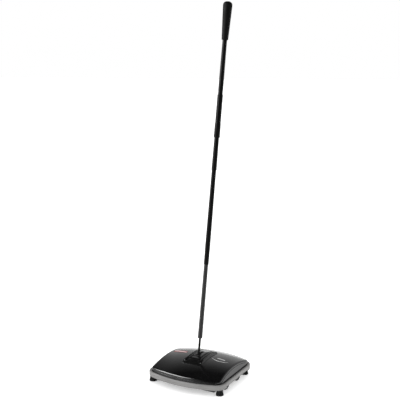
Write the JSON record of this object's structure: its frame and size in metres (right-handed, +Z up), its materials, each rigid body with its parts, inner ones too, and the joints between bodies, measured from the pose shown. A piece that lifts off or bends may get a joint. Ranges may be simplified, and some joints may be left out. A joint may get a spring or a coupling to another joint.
{
  "type": "carpet sweeper",
  "caption": "Manual carpet sweeper: low bumpered case, wheel-driven roller brush, dust pans, corner brushes and a long pivoting handle with a hanging hole.",
  "frame": {"origin": "on the floor, straight below the middle of the case", "axes": "+X to the right along the roller, +Y to the rear, the way the handle leans, +Z up"},
  "size_m": [0.241, 0.2993, 1.0665],
  "materials": {
    "cover": "gloss black moulding",
    "pad": "fine-textured satin black",
    "bumper": "soft grey vinyl, satin",
    "frame": "moulded black, matt",
    "steel": "zinc plated",
    "bush": "natural nylon",
    "badge": "dull red enamel",
    "accent": "silver foil",
    "core": "sealed beech",
    "bristle": "black nylon bristle",
    "wheel": "dark grey moulding",
    "tyre": "ribbed black rubber",
    "rosette": "moulded black",
    "tube": "black powder coat",
    "tube_satin": "dark grey satin powder coat",
    "coupling": "black moulding",
    "grip": "black soft-touch vinyl"
  },
  "bodies": {
    "case": {"bumper": "bumper", "base_frame": "frame", "top_cover": "cover", "cover_screws": "steel", "left_end_plate": "steel", "right_end_plate": "steel", "bracket_screws": "steel", "left_shaft_bush": "bush", "right_shaft_bush": "bush", "front_comb": "frame", "rear_comb": "frame", "pivot_base": "pad", "pivot_screws": "steel", "pivot_pin": "steel", "badge": "badge", "accent": "accent", "front_pan_rod": "steel", "rear_pan_rod": "steel", "front_pan_springs": "steel", "rear_pan_springs": "steel", "left_front_axle": "steel", "left_rear_axle": "steel", "right_front_axle": "steel", "right_rear_axle": "steel"},
    "handle": {"rod_foot": "pad", "bottom_rod": "tube", "lower_tube_plug": "tube_satin", "lower_tube": "tube_satin", "lower_coupling": "coupling", "middle_tube": "tube", "upper_tube": "tube", "coupling_sleeve": "coupling", "top_tube_ferrule": "steel", "top_tube": "tube", "grip": "grip"},
    "roller": {"brush_shaft": "steel", "brush_core": "core", "brush_bristles": "bristle", "left_drive_hub": "frame", "right_drive_hub": "frame"},
    "front_tray": {"front_pan": "frame"},
    "rear_tray": {"rear_pan": "frame"},
    "left_front_running_wheel": {"left_front_wheel": "wheel", "left_front_tyre": "tyre"},
    "left_front_corner_brush": {"left_front_rosette": "rosette", "left_front_tuft": "bristle"},
    "left_rear_running_wheel": {"left_rear_wheel": "wheel", "left_rear_tyre": "tyre"},
    "left_rear_corner_brush": {"left_rear_rosette": "rosette", "left_rear_tuft": "bristle"},
    "right_front_running_wheel": {"right_front_wheel": "wheel", "right_front_tyre": "tyre"},
    "right_front_corner_brush": {"right_front_rosette": "rosette", "right_front_tuft": "bristle"},
    "right_rear_running_wheel": {"right_rear_wheel": "wheel", "right_rear_tyre": "tyre"},
    "right_rear_corner_brush": {"right_rear_rosette": "rosette", "right_rear_tuft": "bristle"}
  },
  "joints": [
    {"name": "handle_pitch", "type": "hinge", "parent": "case", "child": "handle", "pos_m": [0, -0.0105, 0.067], "axis": [-1, 0, 0], "range_deg": [-30, 60]},
    {"name": "roller_spin", "type": "hinge", "parent": "case", "child": "roller", "pos_m": [0, -0.007, 0.0255], "axis": [1, 0, 0], "continuous": true},
    {"name": "front_tray_hinge", "type": "hinge", "parent": "case", "child": "front_tray", "pos_m": [0, -0.087, 0.023], "axis": [-1, 0, 0], "range_deg": [0, 50], "stiffness_Nm_per_rad": 0.08, "springref_deg": -20.05},
    {"name": "rear_tray_hinge", "type": "hinge", "parent": "case", "child": "rear_tray", "pos_m": [0, 0.073, 0.023], "axis": [1, 0, 0], "range_deg": [0, 50], "stiffness_Nm_per_rad": 0.08, "springref_deg": -20.05},
    {"name": "left_front_wheel_spin", "type": "hinge", "parent": "case", "child": "left_front_running_wheel", "pos_m": [0, -0.043, 0.02], "axis": [1, 0, 0], "continuous": true},
    {"name": "left_front_corner_spin", "type": "hinge", "parent": "case", "child": "left_front_corner_brush", "pos_m": [-0.1063, -0.085, 0.016], "axis": [0, 0, 1], "continuous": true},
    {"name": "left_rear_wheel_spin", "type": "hinge", "parent": "case", "child": "left_rear_running_wheel", "pos_m": [0, 0.029, 0.02], "axis": [1, 0, 0], "continuous": true},
    {"name": "left_rear_corner_spin", "type": "hinge", "parent": "case", "child": "left_rear_corner_brush", "pos_m": [-0.103, 0.081, 0.016], "axis": [0, 0, 1], "continuous": true},
    {"name": "right_front_wheel_spin", "type": "hinge", "parent": "case", "child": "right_front_running_wheel", "pos_m": [0, -0.043, 0.02], "axis": [1, 0, 0], "continuous": true},
    {"name": "right_front_corner_spin", "type": "hinge", "parent": "case", "child": "right_front_corner_brush", "pos_m": [0.1063, -0.085, 0.016], "axis": [0, 0, 1], "continuous": true},
    {"name": "right_rear_wheel_spin", "type": "hinge", "parent": "case", "child": "right_rear_running_wheel", "pos_m": [0, 0.029, 0.02], "axis": [1, 0, 0], "continuous": true},
    {"name": "right_rear_corner_spin", "type": "hinge", "parent": "case", "child": "right_rear_corner_brush", "pos_m": [0.103, 0.081, 0.016], "axis": [0, 0, 1], "continuous": true}
  ],
  "couplings": [
    {"joint": "left_front_wheel_spin", "follows": "roller_spin", "ratio": -0.8059},
    {"joint": "left_rear_wheel_spin", "follows": "roller_spin", "ratio": -0.8059},
    {"joint": "right_front_wheel_spin", "follows": "roller_spin", "ratio": -0.8059},
    {"joint": "right_rear_wheel_spin", "follows": "roller_spin", "ratio": -0.8059}
  ]
}
